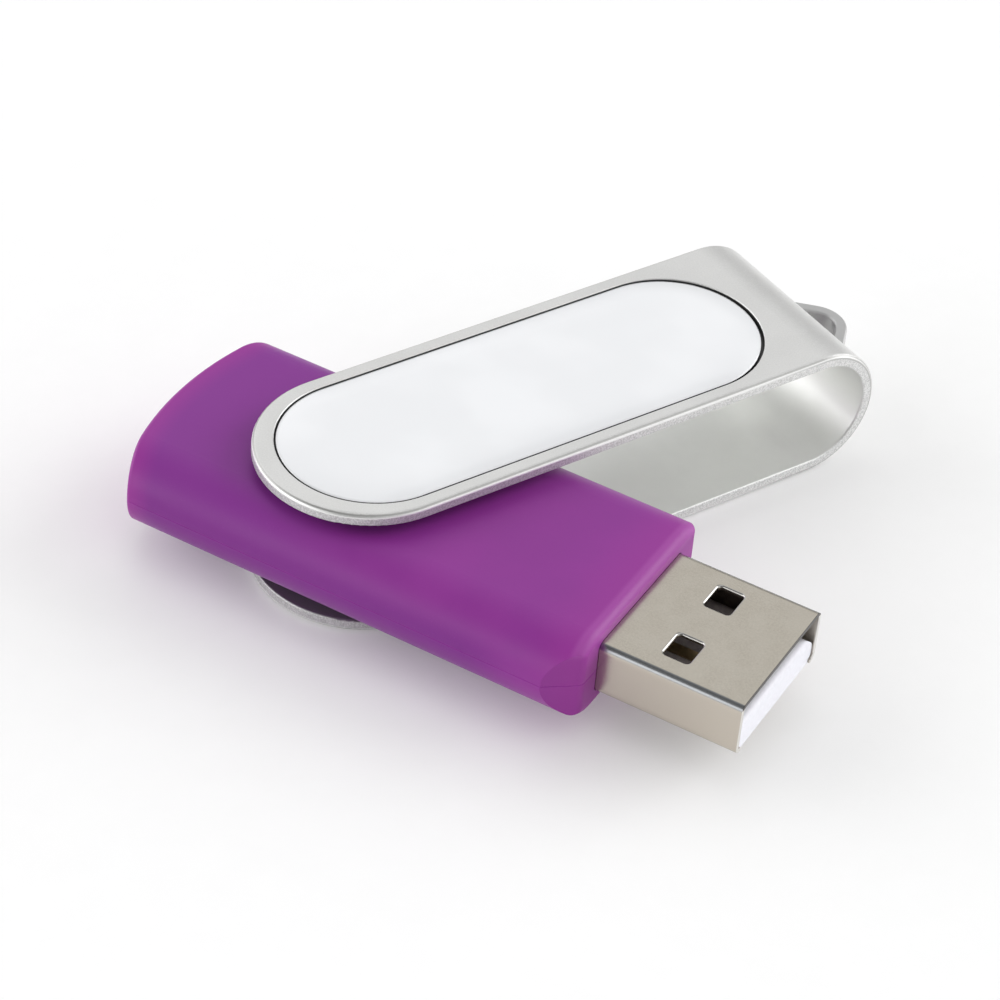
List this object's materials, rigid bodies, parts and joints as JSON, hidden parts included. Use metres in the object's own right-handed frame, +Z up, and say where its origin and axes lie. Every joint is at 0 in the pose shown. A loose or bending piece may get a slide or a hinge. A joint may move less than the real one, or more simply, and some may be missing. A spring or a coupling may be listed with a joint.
{
  "type": "usb flash drive",
  "caption": "Swivel flash drive: flat moulded body with a USB-A plug and a U-shaped metal cover that turns about a pivot, with a gel label and a key loop.",
  "frame": {"origin": "pivot axis of the cover, at the underside of the cover and its flush pivot spigot, where the drive rests", "axes": "+X along the body towards the tip of the plug, +Z up along the pivot axis"},
  "size_m": [0.0496, 0.0498, 0.0111],
  "materials": {
    "purple_plastic": "soft-touch moulded plastic",
    "cover_metal": "satin, fine blasted grain",
    "plug_steel": "nickel-plated, satin",
    "white_plastic": "moulded",
    "gold": "gold-plated",
    "board_laminate": "solder mask",
    "black_epoxy": "moulded package",
    "tin": "tinned",
    "ceramic": "fired ceramic",
    "resistor_black": "glazed",
    "label_gel": "glossy gel dome",
    "label_print": "printed film",
    "label_glue": "clear adhesive"
  },
  "bodies": {
    "drive": {"upper_shell": "purple_plastic", "lower_shell": "purple_plastic", "plug_shell": "plug_steel", "plug_tongue": "white_plastic", "contact_power": "gold", "contact_data_minus": "gold", "contact_data_plus": "gold", "contact_ground": "gold", "circuit_board": "board_laminate", "flash_memory": "black_epoxy", "flash_memory_leads": "tin", "controller_chip": "black_epoxy", "controller_leads": "tin", "crystal": "tin", "crystal_capacitors": "ceramic", "supply_capacitors": "ceramic", "resistors": "resistor_black", "ferrite_bead": "resistor_black", "plug_solder": "tin"},
    "cover": {"swivel_clip": "cover_metal", "ring_loop": "cover_metal", "label_adhesive": "label_glue", "label_film": "label_print", "label_dome": "label_gel"}
  },
  "joints": [
    {"name": "cover_swivel", "type": "hinge", "parent": "drive", "child": "cover", "pos_m": [0, 0, 0.0054], "axis": [0, 0, 1], "continuous": true}
  ]
}
